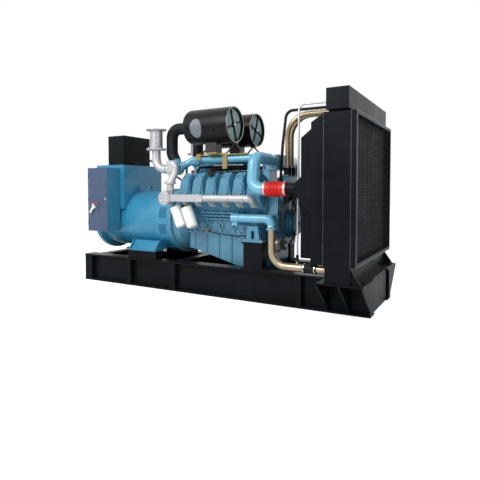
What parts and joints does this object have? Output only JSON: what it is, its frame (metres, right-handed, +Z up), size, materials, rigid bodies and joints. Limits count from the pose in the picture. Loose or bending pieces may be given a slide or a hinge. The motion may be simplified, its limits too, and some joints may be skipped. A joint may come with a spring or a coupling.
{
  "type": "diesel generator set",
  "caption": "Skid-mounted vee diesel engine driving a three-phase alternator, with twin turbochargers, air cleaners, a belt-driven fan and a radiator at one end.",
  "frame": {"origin": "middle of the skid's length and width, on the ground", "axes": "+X along the crankshaft towards the radiator, +Z up, -Y towards the terminal box side"},
  "size_m": [3.6, 1.484, 2.033],
  "materials": {
    "skid_black": "gloss black skid paint",
    "alternator_blue": "satin blue machine paint",
    "engine_teal": "satin teal engine paint",
    "panel_grey_blue": "matt grey-blue powder coat",
    "box_black": "black powder coat",
    "handle_white": "moulded",
    "cast_silver": "heat-proof aluminium paint",
    "hose_red": "silicone hose",
    "duct_black": "satin black",
    "filter_white": "gloss white can",
    "pulley_blue": "painted casting",
    "pulley_dark": "machined, dark",
    "alternator_silver": "die cast",
    "belt_rubber": "ribbed belt",
    "cleaner_black": "satin moulding",
    "bracket_gold": "yellow zinc plated",
    "elbow_rubber": "moulded elbow",
    "pipe_champagne": "plated tube",
    "hose_black": "coolant hose",
    "vent_white": "white tube",
    "core_dark": "finned core",
    "radiator_black": "gloss black paint",
    "guard_black": "black guard mesh",
    "fan_dark": "moulded blades"
  },
  "bodies": {
    "set": {"skid_rail_near": "skid_black", "skid_rail_far": "skid_black", "skid_cross_beams": "skid_black", "outriggers": "skid_black", "alternator_plinths": "skid_black", "engine_pedestals": "skid_black", "engine_mounts": "engine_teal", "alternator_frame": "alternator_blue", "alternator_end_cover": "alternator_blue", "alternator_casing": "alternator_blue", "terminal_box": "panel_grey_blue", "control_box": "box_black", "alternator_feet": "alternator_blue", "adaptor_ring": "alternator_blue", "flywheel_housing": "engine_teal", "crankcase": "engine_teal", "oil_pan": "engine_teal", "cylinder_heads": "engine_teal", "rocker_covers": "engine_teal", "exhaust_manifolds": "cast_silver", "turbochargers": "cast_silver", "exhaust_outlets": "cast_silver", "charge_pipes": "engine_teal", "charge_hoses": "hose_red", "charge_ducts": "duct_black", "oil_filters": "filter_white", "gear_case": "engine_teal", "injection_pump": "engine_teal", "water_inlet": "engine_teal", "charging_alternator": "alternator_silver", "drive_belts": "belt_rubber", "air_cleaners": "cleaner_black", "cleaner_brackets": "bracket_gold", "intake_elbows": "elbow_rubber", "coolant_pipes": "pipe_champagne", "coolant_hoses": "hose_black", "vent_pipe": "vent_white", "radiator_core": "core_dark", "radiator_side_panels": "radiator_black", "header_tank": "radiator_black", "radiator_base": "radiator_black", "radiator_guard": "guard_black", "fan_shroud": "radiator_black"},
    "breaker": {"breaker_handle": "handle_white"},
    "crank": {"crank_pulley": "pulley_blue"},
    "fan_wheel": {"fan": "fan_dark"},
    "pump": {"pump_pulley": "pulley_dark"},
    "charging": {"charging_pulley": "pulley_dark"}
  },
  "joints": [
    {"name": "breaker_handle", "type": "hinge", "parent": "set", "child": "breaker", "pos_m": [-1.48, -0.576, 0.932], "axis": [0, 1, 0], "range_deg": [0, 90]},
    {"name": "crank_pulley", "type": "hinge", "parent": "set", "child": "crank", "pos_m": [0.9, 0, 0.78], "axis": [1, 0, 0], "continuous": true},
    {"name": "fan", "type": "hinge", "parent": "set", "child": "fan_wheel", "pos_m": [0.9, 0, 1.069], "axis": [1, 0, 0], "continuous": true},
    {"name": "pump_pulley", "type": "hinge", "parent": "set", "child": "pump", "pos_m": [0.9, -0.21, 1.08], "axis": [1, 0, 0], "continuous": true},
    {"name": "charging_pulley", "type": "hinge", "parent": "set", "child": "charging", "pos_m": [0.9, -0.265, 0.576], "axis": [1, 0, 0], "continuous": true}
  ],
  "couplings": [
    {"joint": "fan", "follows": "crank_pulley", "ratio": 1.0636},
    {"joint": "pump_pulley", "follows": "crank_pulley", "ratio": 1.56},
    {"joint": "charging_pulley", "follows": "crank_pulley", "ratio": 2.7857}
  ]
}
